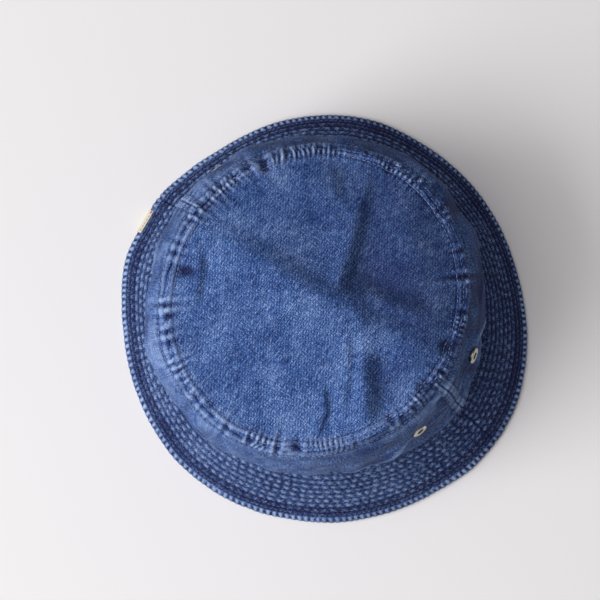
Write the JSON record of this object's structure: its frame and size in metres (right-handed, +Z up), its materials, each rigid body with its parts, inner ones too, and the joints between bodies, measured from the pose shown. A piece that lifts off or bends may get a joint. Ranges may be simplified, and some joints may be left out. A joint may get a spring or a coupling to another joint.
{
  "type": "bucket hat",
  "caption": "Soft bucket hat in washed blue denim: oval tip, side band with metal vent eyelets, sloping brim quilted with rows of stitching, sweatband and a small tab folded over the brim edge.",
  "frame": {"origin": "on the plane that the brim edge rests on, under the middle of the brim", "axes": "+Z up out of the tip; +X towards the right side seam with its pair of eyelets; -Y to the front, +Y to the back"},
  "size_m": [0.257, 0.248, 0.1291],
  "materials": {
    "denim": "washed indigo twill",
    "interlining": "matt nonwoven",
    "cotton_twill": "navy cotton twill",
    "eyelet_metal": "aged nickel plate",
    "label_ribbon": "natural woven ribbon",
    "thread": "faded cotton topstitch thread"
  },
  "bodies": {
    "root": {"crown_tip": "denim", "crown_side_front": "denim", "crown_side_back": "denim", "brim_top_front": "denim", "brim_top_back": "denim", "brim_under_front": "denim", "brim_under_back": "denim", "brim_interlining_front": "interlining", "brim_interlining_back": "interlining", "sweatband": "cotton_twill", "tip_seam_tape": "cotton_twill", "side_seam_tape_right": "cotton_twill", "side_seam_tape_left": "cotton_twill", "eyelet_right_front": "eyelet_metal", "eyelet_right_back": "eyelet_metal", "eyelet_left_front": "eyelet_metal", "eyelet_left_back": "eyelet_metal", "eyelet_washer_right_front": "eyelet_metal", "eyelet_washer_right_back": "eyelet_metal", "eyelet_washer_left_front": "eyelet_metal", "eyelet_washer_left_back": "eyelet_metal", "edge_label": "label_ribbon", "care_label": "label_ribbon", "tip_seam_stitching": "thread", "side_seam_stitching_right": "thread", "side_seam_stitching_left": "thread", "brim_stitching_top": "thread", "brim_stitching_under": "thread", "join_stitching": "thread", "sweatband_stitching": "thread", "edge_label_stitching": "thread"}
  },
  "joints": []
}
